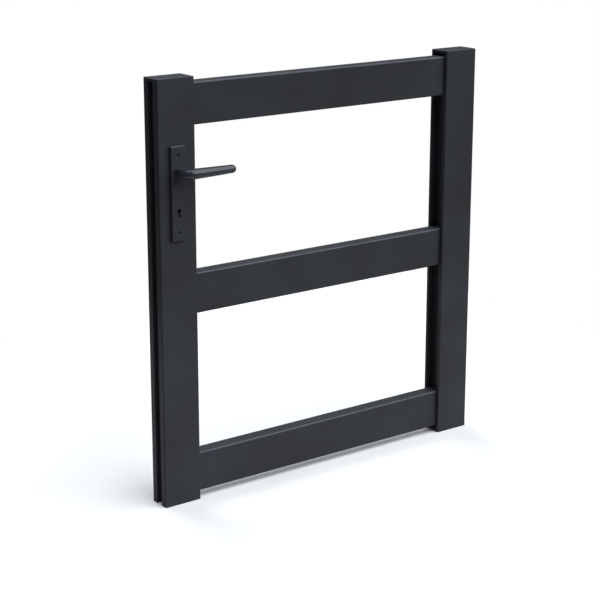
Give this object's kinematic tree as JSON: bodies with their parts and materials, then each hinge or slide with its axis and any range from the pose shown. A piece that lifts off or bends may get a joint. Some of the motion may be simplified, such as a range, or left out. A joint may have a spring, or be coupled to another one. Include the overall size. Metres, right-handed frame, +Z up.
{
  "type": "garden gate",
  "caption": "Single-leaf framed garden gate: two stiles, three box rails, mortice lock, lever handle in front and knob behind, butt hinges for a post.",
  "frame": {"origin": "under the middle of the whole gate, at the height of the stiles' feet", "axes": "+X along the gate from the lock side to the hinge side, +Y from the front to the back (the way it opens), +Z up"},
  "size_m": [1, 0.185, 1.04],
  "materials": {
    "coated_frame": "matt textured powder coat, anthracite grey",
    "coated_plate": "matt powder coat, anthracite grey",
    "coated_lever": "satin powder coat, anthracite grey",
    "coated_hinge": "matt powder coat, anthracite grey",
    "black_steel": "black-coated steel, satin",
    "stainless_steel": "brushed",
    "zinc_plated_steel": "zinc plated, dull",
    "bolt_steel": "dark phosphated steel",
    "spring_steel": "drawn wire",
    "mill_aluminium": "mill finish",
    "black_nylon": "moulded nylon"
  },
  "bodies": {
    "post_side": {"lower_post_hinge_plate": "coated_hinge", "lower_hinge_pin": "stainless_steel", "lower_hinge_pin_ring": "stainless_steel", "upper_post_hinge_plate": "coated_hinge", "upper_hinge_pin": "stainless_steel", "upper_hinge_pin_ring": "stainless_steel"},
    "leaf": {"lock_stile": "coated_frame", "hinge_stile": "coated_frame", "lock_stile_cap": "coated_frame", "hinge_stile_cap": "coated_frame", "bottom_rail": "coated_frame", "middle_rail": "coated_frame", "top_rail": "coated_frame", "lock_side_connectors": "mill_aluminium", "lock_side_connector_bolts": "stainless_steel", "lock_side_rivet_nuts": "zinc_plated_steel", "hinge_side_connectors": "mill_aluminium", "hinge_side_connector_bolts": "stainless_steel", "hinge_side_rivet_nuts": "zinc_plated_steel", "rail_locking_screws": "stainless_steel", "lower_leaf_hinge_plate": "coated_hinge", "lower_hinge_packing": "mill_aluminium", "lower_hinge_screws": "stainless_steel", "lower_hinge_rivet_nuts": "zinc_plated_steel", "lower_hinge_bushes": "black_nylon", "upper_leaf_hinge_plate": "coated_hinge", "upper_hinge_packing": "mill_aluminium", "upper_hinge_screws": "stainless_steel", "upper_hinge_rivet_nuts": "zinc_plated_steel", "upper_hinge_bushes": "black_nylon", "lock_case": "zinc_plated_steel", "lock_cover": "zinc_plated_steel", "lock_posts": "zinc_plated_steel", "lock_cover_screws": "zinc_plated_steel", "face_plate": "black_steel", "face_plate_screws": "black_steel", "front_backplate": "coated_plate", "rear_backplate": "coated_plate", "backplate_screws": "black_steel", "backplate_sleeve_nuts": "black_steel", "front_collar": "black_nylon", "rear_collar": "black_nylon", "detent_spring": "spring_steel", "lever_spring": "spring_steel", "latch_spring": "spring_steel"},
    "handle_set": {"front_lever": "coated_lever", "rear_knob": "coated_lever", "spindle": "stainless_steel", "follower": "zinc_plated_steel", "grub_screws": "stainless_steel"},
    "latch": {"latch_bolt": "bolt_steel"},
    "dead_lock": {"dead_bolt": "bolt_steel"},
    "detent": {"detent_lever": "zinc_plated_steel"}
  },
  "joints": [
    {"name": "gate_swing", "type": "hinge", "parent": "post_side", "child": "leaf", "pos_m": [0.485, 0.042, 0.5], "axis": [0, 0, -1], "range_deg": [0, 110]},
    {"name": "lever_turn", "type": "hinge", "parent": "leaf", "child": "handle_set", "pos_m": [-0.452, 0, 0.824], "axis": [0, 1, 0], "range_deg": [0, 40], "stiffness_Nm_per_rad": 0.9, "springref_deg": -51.57, "deforming": ["lever_spring"]},
    {"name": "latch_slide", "type": "slide", "parent": "leaf", "child": "latch", "axis": [1, 0, 0], "range_m": [0, 0.0081], "deforming": ["latch_spring"]},
    {"name": "dead_bolt_throw", "type": "slide", "parent": "leaf", "child": "dead_lock", "axis": [-1, 0, 0], "range_m": [0, 0.014]},
    {"name": "detent_lift", "type": "hinge", "parent": "leaf", "child": "detent", "pos_m": [-0.4325, 0, 0.778], "axis": [0, 1, 0], "range_deg": [0, 6], "stiffness_Nm_per_rad": 0.02, "springref_deg": -28.65, "deforming": ["detent_spring"]}
  ],
  "couplings": [
    {"joint": "latch_slide", "follows": "lever_turn", "m_per_rad": 0.0116}
  ]
}
